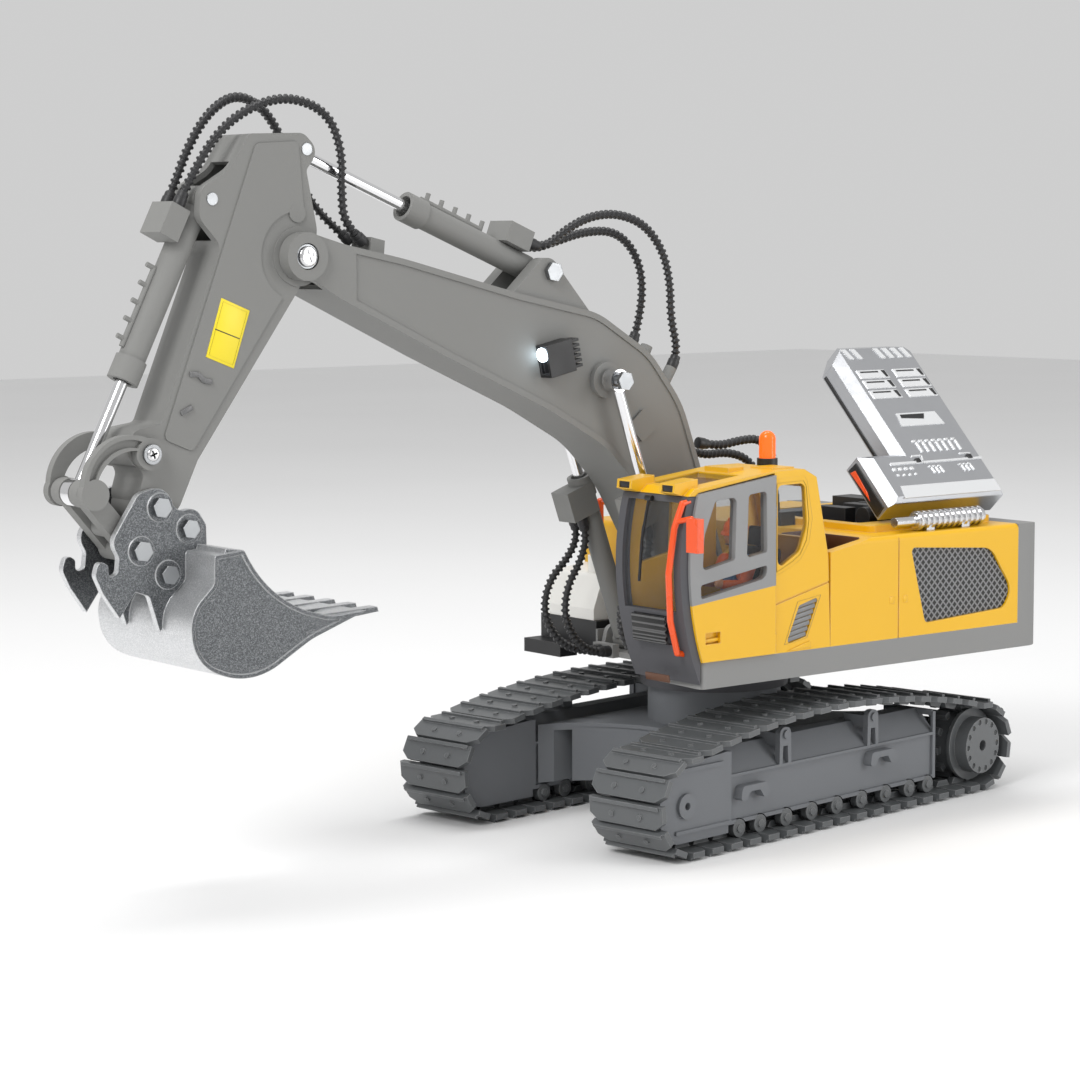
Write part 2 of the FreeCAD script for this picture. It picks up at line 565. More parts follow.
def engine_block():
    """Moulded engine bay in the deck opening, with the hose manifold in front of it."""
    x0, x1 = HOOD_BAY[0] + FIT, HOOD_BAY[1] - FIT
    y0, y1 = HOOD_BAY[2] + FIT, HOOD_BAY[3] - FIT
    pieces = [floor_plate([(x0, y0, 2), (x1, y0, 2), (x1, y1, 2), (x0, y1, 2)], DECK - WALL, DECK)]
    for i in range(4):
        x = x1 - 12 - (0, 14, 21.5, 29)[i]
        pieces.append(block(x - 5.4, x, 4, 19, DECK, DECK + 5.6))
    pieces.append(Part.makeCylinder(3.6, 33, V(x0 + 8, 28, DECK + 3.0), V(1, 0, 0)))
    pieces.append(block(x0 + 5, x0 + 15, -14, 20, DECK, DECK + 6.4))
    pieces.append(block(x1 - 34, x1 - 8, -14, -4, DECK, DECK + 2.9))
    pieces.append(block(x1 - 2, MANIFOLD_X - 4, -4, 4, DECK + 0.2, DECK + 2.4))
    pieces.append(block(MANIFOLD_X - 4, MANIFOLD_X + 3, -8, 11, DECK, DECK + 5.0))
    for y in (4.0, -4.0):
        pieces.append(upright(MANIFOLD_X, y, 2.2, DECK + 5.0, DECK + 8.0))
    return fuse(pieces)


def step_box():
    """Black locker with its step, at the right front."""
    body = block(RIGHT_FRONT + FIT, FLOOR_FRONT - 1, -59, -CHANNEL - 2, SKIRT_LOW, 66.0)
    step = block(FLOOR_FRONT - 1, FLOOR_FRONT + 7, -59, -38, SKIRT_LOW - 2, SKIRT_LOW + 3)
    return fuse([body, step])


def washer_tank():
    """White tank on the locker, with its grey filler cap."""
    side = [(RIGHT_FRONT + 1.5, 66.0), (FLOOR_FRONT - 1.5, 66.0), (FLOOR_FRONT - 1.5, 70), (FLOOR_FRONT - 6, 82, 2),
            (RIGHT_FRONT + 1.5, 84, 1)]
    body = side_plate(side, -56, -CHANNEL - 4)
    cap = upright(22, -38, 4.4, 80, 88.5)
    return fuse([body, cap])


def grab_rail():
    """Orange grab rail standing on the tank's cap, reaching back over the deck."""
    pieces = [bar(V(22, -38, 88.5), V(22, -38, 108), 1.4), Part.makeSphere(1.4, V(22, -38, 108)),
              bar(V(22, -38, 108), V(9, -44, 108), 1.4), Part.makeSphere(1.4, V(9, -44, 108)),
              bar(V(9, -44, DECK), V(9, -44, 108), 1.4)]
    return fuse(pieces)


# ---------------------------------------------------------------- cab
CAB_FRONT_CURVE = (60.4, SKIRT_LOW), (66.7, 71.4), (69.9, 92.0), (68.6, 110.3), (66.4, 119.3)


def front_edges(shift, y):
    """The bowed front edge of the cab, from the floor to the roof, moved by shift along X."""
    p = [V(x + shift, y, z) for x, z in CAB_FRONT_CURVE]
    return [Part.Arc(p[0], p[1], p[2]).toShape(), Part.Arc(p[2], p[3], p[4]).toShape()]


def cab_solid(shift, y0, y1, rear, floor, roof_drop):
    """Cab outline behind the bowed front, between two side planes."""
    edges = front_edges(shift, y0)
    start = V(CAB_FRONT_CURVE[0][0] + shift, y0, CAB_FRONT_CURVE[0][1])
    end = V(CAB_FRONT_CURVE[4][0] + shift, y0, CAB_FRONT_CURVE[4][1])
    roof = CAB_ROOF - roof_drop
    chain = [end, V(63.5 + shift, y0, 121.6 - roof_drop), V(28, y0, roof), V(14, y0, roof),
             V(rear + 7, y0, roof - 3), V(rear + 4.5, y0, 111), V(rear + 1.2, y0, 95), V(rear, y0, floor),
             V(start.x, y0, floor)]
    if abs(floor - start.z) > 1e-6:
        chain.append(start)
    for i in range(len(chain) - 1):
        edges.append(Part.LineSegment(chain[i], chain[i + 1]).toShape())
    body = Part.Face(Part.Wire(edges)).extrude(V(0, y1 - y0, 0))
    return body.common(block(-50, 100, y0, y1, floor, 200))


def front_band(inside, outside, y0, y1, z0, z1):
    """Slice of the bowed front between two depths, cut to a height range."""
    a = front_edges(-outside, y0)
    b = front_edges(-inside, y0)
    low = Part.LineSegment(a[0].Vertexes[0].Point, b[0].Vertexes[0].Point).toShape()
    top = Part.LineSegment(a[1].Vertexes[-1].Point, b[1].Vertexes[-1].Point).toShape()
    face = Part.Face(Part.Wire(Part.__sortEdges__(a + b + [low, top])))
    return face.extrude(V(0, y1 - y0, 0)).common(block(0, 100, y0 - 1, y1 + 1, z0, z1))


def window_set():
    """Windows of the door: the big front one in two lights, and the lower one."""
    front = [(45.8, 118.0, 2), (46.6, 97.0, 1), (61.0, 94.3, 1.5), (60.2, 106, 6), (55.4, 117.2, 2)]
    middle = [(32.2, 119.2, 1.5), (31.9, 98.6, 1), (41.2, 97.2, 1.5), (40.4, 118.4, 1.5)]
    lower = [(31.7, 94.2, 1), (32.4, 89.8, 3), (61.6, 84.9, 1), (61.8, 89.6, 1)]
    return [front, middle, lower]


REAR_LIGHT = [(26.2, 120.6, 2), (13.6, 120.8, 2.5), (12.4, 106, 8), (15.8, 97.6, 4), (26.2, 92.0, 2)]
HATCH = (38.0, 60.0, 34.0, 55.0)
SCREEN = (31.4, 57.6, 80.5, 117.0)
DOOR_IN = HALF_WIDTH - 2.2


def door_zone(clearance):
    y0 = DOOR_IN - clearance
    band = cab_solid(-CAB_FRAME + clearance, y0, HALF_WIDTH + 1, CAB_REAR, SKIRT_LOW, 0)
    zone = block(DOOR_HINGE - clearance, 100, y0 - 1, HALF_WIDTH + 2, SKIRT_TOP - clearance + 0.2,
                 118.4 + clearance)
    peak = 125 if clearance else 125 - DOOR_TOP_GAP
    roof_line = side_plate([(DOOR_HINGE - 1, peak), (75, 118.3 + clearance), (75, 140), (DOOR_HINGE - 1, 140)],
                           y0 - 2, HALF_WIDTH + 3)
    tall = block(DOOR_HINGE - clearance, 100, y0 - 1, HALF_WIDTH + 2, SKIRT_TOP - clearance + 0.2, 125)
    return band.common(tall).cut(roof_line) if zone else band


def door_knuckles(clearance):
    """The two hinge knuckles on the door's rear edge."""
    low, high = (66.5, 70.5), (109.8, 113.8)
    return fuse([upright(DOOR_HINGE, HALF_WIDTH, KNUCKLE + clearance, z0 - clearance, z1 + clearance)
                 for z0, z1 in (low, high)])


def cab_shell():
    """Yellow cab body: roof, back, right wall and the left rear quarter with its louvre."""
    full = cab_solid(0, CAB_RIGHT, HALF_WIDTH, CAB_REAR + FIT, SKIRT_TOP, 0)
    inner = cab_solid(-CAB_FRAME, CAB_RIGHT + WALL, HALF_WIDTH - WALL, CAB_REAR + WALL, SKIRT_TOP + WALL, WALL)
    shell = full.cut(inner)
    shell = shell.cut(front_band(-2, CAB_FRAME, CAB_RIGHT - 1, HALF_WIDTH + 1, 0, 119.2))
    shell = shell.cut(door_zone(DOOR_GAP)).cut(door_knuckles(DOOR_GAP))
    shell = shell.cut(side_plate(REAR_LIGHT, HALF_WIDTH - 4, HALF_WIDTH + 2))
    for outline in window_set()[:2] + [REAR_LIGHT]:
        shell = shell.cut(side_plate(outline, CAB_RIGHT - 2, CAB_RIGHT + 4))
    shell = shell.cut(block(-6, 12, 33, 56, 101, 119))
    shell = shell.cut(block(HATCH[0], HATCH[1], HATCH[2], HATCH[3], 110, 140))
    lamps = []
    for y in (29.0, 50.9):
        lamp = [(60, 119.6), (67.5, 119.4), (70.4, 120.4), (70.0, 123.4), (60, 124.6)]
        lamps.append(side_plate(lamp, y, y + 7.5).cut(block(69.2, 72, y + 1, y + 6.5, 120.6, 122.8)))
    plates = [block(30, 37, 36, 48, CAB_ROOF - 2, CAB_ROOF + 0.8),
              block(14, 24, 45, 56, CAB_ROOF - 1.5, CAB_ROOF + 0.5)]
    shell = fuse([shell] + lamps + plates)
    seam = side_plate([(CAB_REAR - 1, 86.2), (27.5, 79.9), (27.5, 80.5), (CAB_REAR - 1, 86.8)],
                      HALF_WIDTH - 0.4, HALF_WIDTH + 1)
    louvre = side_plate([(6.6, 81.4, 1), (16.0, 79.0, 1), (22.1, 66.1, 1), (12.6, 68.1, 1)],
                        HALF_WIDTH - 1.0, HALF_WIDTH + 1)
    return shell.cut(seam).cut(louvre)


def cab_front():
    """Dark bowed front frame round the windscreen, down to the skirt."""
    frame = front_band(0, CAB_FRAME, CAB_RIGHT, HALF_WIDTH, 0, 119.0)
    opening = block(50, 80, SCREEN[0], SCREEN[1], SCREEN[2], SCREEN[3])
    frame = frame.cut(opening)
    intake = front_band(-1, 1.0, 35.5, 53.0, 69.0, 79.0)
    return frame.cut(intake).cut(block(0, FLOOR_FRONT + 27.2, 20, 80, 0, SKIRT_TOP))


def cab_glazing():
    """Windscreen, roof hatch, right side and rear lights."""
    panes = [front_band(1.2, 2.2, SCREEN[0] + FIT, SCREEN[1] - FIT, SCREEN[2] + FIT, SCREEN[3] - FIT)]
    hatch = cab_solid(0, HATCH[2] + FIT, HATCH[3] - FIT, CAB_REAR, SKIRT_TOP, 0.5)
    hatch = hatch.cut(cab_solid(0, HATCH[2] - 1, HATCH[3] + 1, CAB_REAR, SKIRT_TOP, 1.5))
    panes.append(hatch.common(block(HATCH[0] + FIT, HATCH[1] - FIT, 0, 80, 115, 140)))
    for outline in window_set()[:2] + [REAR_LIGHT]:
        panes.append(inset(outline, FIT, CAB_RIGHT + 0.5, CAB_RIGHT + 1.5))
    panes.append(inset(REAR_LIGHT, FIT, HALF_WIDTH - 1.5, HALF_WIDTH - 0.6))
    return panes


def cab_door():
    door = door_zone(0)
    for outline in window_set():
        door = door.cut(side_plate(outline, DOOR_IN - 2, HALF_WIDTH + 2))
    pull = block(53, 59.6, HALF_WIDTH - 0.9, HALF_WIDTH + 1, 69.6, 73.4)
    return door.cut(pull).fuse(door_knuckles(0))


def door_glass():
    return [inset(outline, FIT, HALF_WIDTH - 1.6, HALF_WIDTH - 0.7) for outline in window_set()]


def wiper():
    """Wiper on the windscreen: pivot below the roof, arm and blade."""
    pivot = across((68.9, 117.9), 1.0, 42.6, 45.6)
    arm = bar(V(69.0, 44.1, 118.0), V(71.0, 42.8, 104), 0.5)
    lower = bar(V(71.0, 42.8, 104), V(71.2, 41.6, 90), 0.5)
    knee = Part.makeSphere(0.5, V(71.0, 42.8, 104))
    return fuse([pivot, arm, lower, knee])


HANDRAIL = (V(68.4, 60.2, 117.0), V(71.4, 59.6, 109), V(73.0, 58.6, 94.0), V(71.2, 57.4, 78.0), V(67.6, 56.8, 67.0))


def handrail():
    """Orange handrail on the left front pillar, with the mirror on its arm."""
    pieces = []
    for i in range(len(HANDRAIL) - 1):
        pieces.append(bar(HANDRAIL[i], HANDRAIL[i + 1], 1.1))
    for point in HANDRAIL:
        pieces.append(Part.makeSphere(1.1, point))
    pieces.append(bar(HANDRAIL[0], HANDRAIL[0] + V(-3, 0, 0.5), 1.0))
    pieces.append(bar(HANDRAIL[-1], HANDRAIL[-1] + V(-3, 0, -0.6), 1.0))
    elbow = V(69.6, 66.0, 112.6)
    pieces.append(bar(V(70.6, 59.8, 111.2), elbow, 0.9))
    pieces.append(Part.makeSphere(0.9, elbow))
    pieces.append(block(68.2, 71.0, 65.0, 70.6, 101.5, 112.8))
    return fuse(pieces).cut(cab_solid(0.05, CAB_RIGHT, HALF_WIDTH + 0.05, CAB_REAR, SKIRT_LOW, 0))


def seat():
    base = block(22, 38, 36, 52, SKIRT_TOP + WALL, 72)
    cushion = floor_plate([(20, 35, 3), (40, 35, 3), (40, 53, 3), (20, 53, 3)], 72, 76)
    back = side_plate([(18.5, 72, 1), (23.5, 74, 2), (20.5, 98, 1.5), (16, 98, 1.5)], 36, 52)
    head = side_plate([(17.0, 98.5), (20.2, 98.5), (19.6, 105, 1), (17.0, 105, 1)], 39.5, 48.5)
    neck = block(17.4, 19.6, 43, 45, 97, 99)
    return fuse([base, cushion, back, head, neck])


def driver():
    """Moulded figure: helmet, body, arms and legs."""
    y = 44.0
    pieces = [Part.makeSphere(4.6, V(29.6, y, 104.6)), upright(29.2, y, 2.0, 95, 102),
              side_plate([(24.4, 76.2, 2), (32.8, 76.2, 2), (32.4, 97.4, 3.5), (26, 97.4, 3)], y - 6, y + 6)]
    for side in (-1, 1):
        hip = V(30, y + side * 3.6, 79)
        knee = V(45.5, y + side * 4.6, 79)
        ankle = V(49.0, y + side * 4.6, 69)
        shoulder = V(29.2, y + side * 7.0, 94)
        elbow = V(33.0, y + side * 8.2, 85)
        wrist = V(43.0, y + side * 6.0, 86)
        pieces += [bar(hip, knee, 3.0), Part.makeSphere(3.0, knee), bar(knee, ankle, 2.4),
                   Part.makeSphere(2.6, shoulder), bar(shoulder, elbow, 2.1),
                   Part.makeSphere(2.1, elbow), bar(elbow, wrist, 1.9), Part.makeSphere(2.2, wrist),
                   block(46.8, 54.5, y + side * 4.6 - 2.2, y + side * 4.6 + 2.2, SKIRT_TOP + WALL + 0.1, 69.5)]
    return fuse(pieces)


def beacon_base():
    base = upright(11.5, 40.0, 3.6, CAB_ROOF - 1, CAB_ROOF + 2.4)
    return base.cut(cab_solid(0, CAB_RIGHT, HALF_WIDTH, CAB_REAR, SKIRT_TOP, 0))


def beacon_lamp():
    body = upright(11.5, 40.0, 2.9, CAB_ROOF + 2.4, CAB_ROOF + 9)
    dome = Part.makeSphere(2.9, V(11.5, 40.0, CAB_ROOF + 9))
    return fuse([body, dome])


# ---------------------------------------------------------------- inside the upper body
def battery_pack():
    cells = []
    for y in (-20, -4.9, 10.2):
        cells.append(Part.makeCylinder(7.3, 50, V(-88, y, SKIRT_LOW + WALL + 7.4), V(1, 0, 0)))
    return cells


def circuit_board():
    """Control board on its posts, and the loudspeaker wired to it."""
    board = block(-34, -22.5, -44, 20, 70, 71.6)
    posts = [block(-30, -27, y, y + 3, SKIRT_LOW + WALL, 70) for y in (-40, 12)]
    chips = [block(-31, -26, y, y + 8, 71.6, 73) for y in (-36, -18, 2)]
    speaker = fuse([upright(-60, -44, 12, SKIRT_LOW + WALL, SKIRT_LOW + WALL + 4),
                    upright(-60, -44, 6.5, SKIRT_LOW + WALL + 4, SKIRT_LOW + WALL + 9)])
    return [fuse([board] + posts + chips), speaker]


def slew_motor():
    """Upright geared motor on the floor, its pinion reaching into the ring gear."""
    x, y = -9.6, 0.0
    can = upright(x, y, 6.0, SKIRT_LOW + WALL + 1, 66.5)
    return can.cut(upright(0, 0, KING_POST + 1, 0, 90)).Solids[0]


def power_switch():
    """Slide knob in the floor."""
    knob = block(-62, -56, 40, 44, SKIRT_LOW - 2.0, SKIRT_LOW - GAP)
    stem = block(-60, -58, 41, 43, SKIRT_LOW - GAP, SKIRT_LOW + WALL + 1)
    return fuse([knob, stem])


def switch_slot(tray):
    return tray.cut(block(-60.6, -52.4, 40.7, 43.3, SKIRT_LOW - 1, SKIRT_LOW + WALL + 1))


# ---------------------------------------------------------------- boom
BOOM_SIDE = [
    (179.0, 190.6, 0), (171.5, 185.9, 30), (127.4, 165.1, 200), (85.2, 146.3, 120), (60.6, 132.8, 40),
    (46.0, 118.0, 60), (17.6, 69.5, 8.5), (3.4, 68.0, 6.5), (1.6, 76.5, 8),
    (18.1, 125.3, 120), (26.0, 146.4, 40), (40.5, 164.4, 30), (64.0, 178.6, 30), (98.1, 185.7, 60),
    (145.1, 197.6, 200), (168.0, 202.2, 40), (181.5, 206.0, 0)]
TIP_RADIUS = 7.6
LAMP = (84.0, 164.0)
ARM_HOSE_SIDE = 4.2     # the arm cylinder's hoses end on stubs this far from the middle


def boom_half():
    """Left half of the boom, hollow, with its rim, fork ear, bracket and bosses."""
    body = moulded(BOOM_SIDE, 0, BOOM_HALF, WALL, BOOM_RIM)
    ear_inner = ARM_HALF + ARM_GAP
    cheek = [(164, 184.5), (180.5, 191.0), (183.6, 191.0, 4), (190.4, 196, 5), (189, 204, 5), (182, 206.2, 4),
             (164, 201.0)]
    ear = side_plate(cheek, ear_inner, BOOM_HALF + BOOM_RIM)
    tip = across(ARM_PIVOT, TIP_RADIUS, ear_inner, EAR_FACE)
    bracket_side = [(66.5, 179.0), (78.5, 192.5, 5), (84.6, 199.6, 5), (90.6, 194.0, 4), (99.5, 186.0)]
    bracket = side_plate(bracket_side, 5.2, BOOM_HALF - 1)
    boss = across(CYL_HEAD, 6.2, 2, BOOM_HALF + 2.0)
    foot = across(BOOM_FOOT, 7.6, 0, BOOM_HALF)
    clip = side_plate([(148.6, 197.0), (154.0, 198.0), (153.4, 204.6), (148.0, 203.4)], 0, 5.4)
    stubs = [bar(V(30.0, ARM_HOSE_SIDE, 150.0), V(24.4, ARM_HOSE_SIDE, 158.4), 2.1),
             bar(V(40.0, ARM_HOSE_SIDE, 158.0), V(35.6, ARM_HOSE_SIDE, 166.4), 2.1)]
    diamond = [(38.2, 138.4, 1), (44.6, 133.6, 1), (50.6, 140.0, 1), (44.2, 145.2, 1)]
    mark = side_plate(diamond, BOOM_HALF - 1, BOOM_HALF + 1.0)
    pieces = fuse([body, ear, tip, bracket, boss, foot, mark, clip] + stubs)
    pieces = pieces.cut(across(ARM_PIVOT, 13.6, -1, ear_inner))
    pieces = pieces.cut(across(ARM_PIVOT, 2.5 + FIT, -1, 40))
    pieces = pieces.cut(across(ARM_PIVOT, 4.2, EAR_FACE - 1.6, 40))
    pieces = pieces.cut(across(ARM_CYL_FOOT, PIN_RADIUS + FIT, -1, 40))
    pieces = pieces.cut(across(BOOM_FOOT, 3.0 + FIT, -1, 40))
    arm_cyl_room = side_plate([(70, 186), (104, 189), (112, 204), (70, 204)], -1, 5.1)
    pieces = pieces.cut(across(CYL_HEAD, PIN_RADIUS + FIT, -1, 40)).cut(arm_cyl_room)
    return pieces


def boom_pins():
    """Arm pivot screw, cylinder pins and foot pin, all held by the boom."""
    pivot = fuse([across(ARM_PIVOT, 2.5, -EAR_FACE + 1.6, EAR_FACE - 1.6),
                  across(ARM_PIVOT, 3.9, EAR_FACE - 1.6, EAR_FACE - 0.5),
                  across(ARM_PIVOT, 3.9, -EAR_FACE + 0.5, -EAR_FACE + 1.6)])
    head = CYL_SIDE + 4.4
    rod_pin = fuse([across(CYL_HEAD, PIN_RADIUS, -head, head), hexagon(CYL_HEAD, 3.4, head, head + 1.6),
                    hexagon(CYL_HEAD, 3.4, -head - 1.6, -head)])
    foot_pin = across(ARM_CYL_FOOT, PIN_RADIUS, -BOOM_HALF + 0.8, BOOM_HALF - 0.8)
    bolts = fuse([foot_pin, hexagon(ARM_CYL_FOOT, 3.4, BOOM_HALF - 0.8, BOOM_HALF + 1.0),
                  hexagon(ARM_CYL_FOOT, 3.4, -BOOM_HALF - 1.0, -BOOM_HALF + 0.8)])
    return [pivot, rod_pin, bolts]


def boom_lamps():
    """Work lamp housings on the sides of the boom, behind a ribbed heat sink."""
    body = block(LAMP[0] - 5, LAMP[0] + 6, BOOM_HALF + 0.05, BOOM_HALF + 6, LAMP[1] - 5.5, LAMP[1] + 5.5)
    face = block(LAMP[0] + 4.6, LAMP[0] + 6, BOOM_HALF + 1, BOOM_HALF + 5, LAMP[1] - 4.4, LAMP[1] + 4.4)
    lamp = body.cut(face)
    ribs = [block(LAMP[0] - 8.5, LAMP[0] - 5, BOOM_HALF + 0.6, BOOM_HALF + 5.2, z, z + 1.0)
            for z in [LAMP[1] - 4.8 + 1.75 * i for i in range(6)]]
    lamp = fuse([lamp] + ribs)
    lamp.rotate(V(LAMP[0], 0, LAMP[1]), V(0, 1, 0), 12)
    return both(lamp)


# ---------------------------------------------------------------- cylinders
def barrel(foot, head, length, y, radius, eye, eye_half, slack):
    """Cylinder tube with its foot eye, a collar at the gland and an oversize bore."""
    start = at(foot, y)
    axis = (at(head, y) - start).normalize()
    tube = Part.makeCylinder(radius, length - eye + 1, start + axis * (eye - 1), axis)
    collar = Part.makeCylinder(radius + 0.7, 7.5, start + axis * (length - 7.5), axis)
    lug = across(foot, eye, y - eye_half, y + eye_half)
    body = fuse([tube, collar, lug])
    bore = Part.makeCylinder(ROD_RADIUS + slack, length, start + axis * (eye + 4), axis)
    return body.cut(bore).cut(across(foot, PIN_RADIUS + FIT, y - 20, y + 20)), start, axis


def peg_strip(start, axis, out, first, count, pitch, radius):
    """Thin pipe clipped along a barrel by a row of pegs."""
    base = start + axis * first + out * (radius + 0.5)
    pieces = [bar(base, base + axis * (pitch * count - pitch * 0.6), 0.9)]
    for i in range(count):
        spot = start + axis * (first + pitch * i) + out * (radius - 0.6)
        pieces.append(bar(spot, spot + out * 4.0, 0.8))
    return pieces


class Fitting:
    """Hose block clipped on a barrel: along is measured up the barrel, lift out of its axis."""

    def __init__(self, foot, head, y, sign, along_by, lift, size):
        self.axis = (at(head, 0) - at(foot, 0)).normalize()
        self.out = V(-self.axis.z, 0, self.axis.x) * sign
        self.centre = at(foot, y) + self.axis * along_by + self.out * lift
        self.size = size

    def solid(self):
        long, wide, high = self.size
        box = Part.makeBox(long, wide, high, V(-long / 2, -wide / 2, -high / 2))
        box.rotate(V(0, 0, 0), V(0, -1, 0), math.degrees(math.atan2(self.axis.z, self.axis.x)))
        return box.translate(self.centre)

    def port(self, side, lift, ahead=0.1):
        """A hose point this far ahead of the face that looks down the barrel."""
        spot = self.centre - self.axis * (self.size[0] / 2 + ahead) + self.out * lift
        return (spot.x, spot.y + side, spot.z)


LIFT_FITTING = Fitting(CYL_FOOT, CYL_HEAD, CYL_SIDE, -1, 56.0, 4.5, (11.0, 9.2, 12.0))
ARM_FITTING = Fitting(ARM_CYL_FOOT, ARM_CYL_HEAD, 0, 1, 13.5, 7.4, (10.5, 12.0, 7.0))
BUCKET_FITTING = Fitting(BUCKET_CYL_FOOT, ROD_PIN, 0, 1, 11.5, 7.4, (10.5, 12.0, 7.0))


def boom_cylinder():
    """Left lift cylinder: barrel on the floor lugs, rod on the boom's side pins."""
    length = 64.0
    tube, start, axis = barrel(CYL_FOOT, CYL_HEAD, length, CYL_SIDE, BARREL_RADIUS - 0.5, 3.3, 3.4,
                               GLAND_CLEARANCE)
    tube = fuse([tube, LIFT_FITTING.solid()]).cut(
        Part.makeCylinder(ROD_RADIUS + GLAND_CLEARANCE, length, start + axis * 8, axis))
    return tube, rod(CYL_HEAD, CYL_FOOT, 62.0, CYL_SIDE, 3.9, 2.6)


def rod(head, foot, length, y, eye, eye_half):
    end = at(head, y)
    axis = (at(foot, y) - end).normalize()
    stem = Part.makeCylinder(ROD_RADIUS, length - eye + 1, end + axis * (eye - 1), axis)
    body = fuse([stem, across(head, eye, y - eye_half, y + eye_half)])
    return body.cut(across(head, PIN_RADIUS + FIT, y - 20, y + 20))


def arm_cylinder():
    length = 58.0
    tube, start, axis = barrel(ARM_CYL_FOOT, ARM_CYL_HEAD, length, 0, BARREL_RADIUS, 4.2, 4.4, ARM_GLAND)
    out = V(-axis.z, 0, axis.x)
    pieces = [tube] + peg_strip(start, axis, out, 26, 5, 6.0, BARREL_RADIUS)
    pieces.append(ARM_FITTING.solid())
    tube = fuse(pieces).cut(Part.makeCylinder(ROD_RADIUS + ARM_GLAND, length, start + axis * 9, axis))
    return tube, rod(ARM_CYL_HEAD, ARM_CYL_FOOT, 84.0, 0, 3.6, 3.4)


def bucket_cylinder():
    length = 62.0
    tube, start, axis = barrel(BUCKET_CYL_FOOT, ROD_PIN, length, 0, BARREL_RADIUS, 4.2, 4.4,
                               GLAND_CLEARANCE)
    out = V(-axis.z, 0, axis.x)
    pieces = [tube] + peg_strip(start, axis, out, 26, 5, 6.0, BARREL_RADIUS)
    pieces.append(BUCKET_FITTING.solid())
    tube = fuse(pieces).cut(Part.makeCylinder(ROD_RADIUS + GLAND_CLEARANCE, length, start + axis * 9, axis))
    return tube, rod(ROD_PIN, BUCKET_CYL_FOOT, 77.0, 0, 4.2, 2.4)


# ---------------------------------------------------------------- arm and bucket
ARM_SIDE = [
    (201.2, 236.6, 2.5), (181.0, 237.2, 4.6), (175.3, 231.6, 4.4), (180.2, 225.6, 2), (176.2, 206.0, 8),
    (183.4, 188.6, 10), (221.8, 136.4, 4), (229.8, 119.8, 5.6), (244.6, 121.6, 5.6), (240.4, 134.6, 3),
    (247.6, 136.4, 5.0), (244.4, 146.6, 4.5), (234.6, 148.0, 2), (212.0, 202.0, 4), (219.8, 210.6, 4.6),
    (219.0, 219.6, 4.8), (208.0, 226.0, 10)]


def arm_half():
    """Left half of the arm, hollow, with its rim and bosses."""
    body = moulded(ARM_SIDE, 0, ARM_HALF, 1.8, 0)
    pieces = [body]
    for centre, radius in ((ARM_PIVOT, 8.6), (BUCKET_PIVOT, 5.6), (ROCKER_PIVOT, 4.6)):
        pieces.append(across(centre, radius, 0, ARM_HALF))
    pieces.append(across(ARM_PIVOT, 9.4, ARM_HALF - 2, ARM_HALF + ARM_GAP - 0.25))
    plate = [(199.0, 233.6, 2), (183.4, 234.6, 2), (181.0, 206.0, 3), (186.4, 191.0, 3), (223.8, 139.2, 2),
             (234.0, 143.4, 2)]
    face = side_plate(plate, ARM_HALF, ARM_HALF + 0.5)
    pieces.append(face.cut(across(ARM_PIVOT, 14.2, 0, 30)))
    for centre, radius in (((184.0, 212.2), 3.0),):
        pieces.append(across(centre, radius, ARM_HALF - 1, ARM_HALF + 0.55))
    arm = fuse(pieces)
    cylinder_room = side_plate([(203, 204), (212.6, 203), (228, 214), (226, 232), (214, 232), (203, 226)], -1, 5.2)
    arm = arm.cut(cylinder_room)
    rod_room = side_plate([(170, 222), (188, 222.4), (189.5, 240), (170, 240)], -1, 4.2)
    arm = arm.cut(rod_room)
    arm = arm.cut(across(ARM_PIVOT, 2.5 + FIT, -1, 20))
    for centre in (ARM_CYL_HEAD, BUCKET_CYL_FOOT, ROCKER_PIVOT, BUCKET_PIVOT):
        arm = arm.cut(across(centre, PIN_RADIUS + FIT, -1, 20))
    return arm


ROCKER_IN = ARM_HALF + 0.35
ROCKER_OUT = ROCKER_IN + 3.0


def arm_pins():
    """Pins of the two cylinders, the rocker pivot screws and the bucket pivot."""
    upper = [across(p, PIN_RADIUS, -ARM_HALF - 0.2, ARM_HALF + 0.2) for p in (ARM_CYL_HEAD, BUCKET_CYL_FOOT)]
    screw = fuse([across(ROCKER_PIVOT, PIN_RADIUS, -ROCKER_OUT - 0.2, ROCKER_OUT + 0.2),
                  across(ROCKER_PIVOT, 3.1, ROCKER_OUT + 0.2, ROCKER_OUT + 1.2),
                  across(ROCKER_PIVOT, 3.1, -ROCKER_OUT - 1.2, -ROCKER_OUT - 0.2)])
    bucket_pin = across(BUCKET_PIVOT, PIN_RADIUS, -ARM_HALF - EAR_THICK, ARM_HALF + EAR_THICK)
    return upper + [screw, bucket_pin]


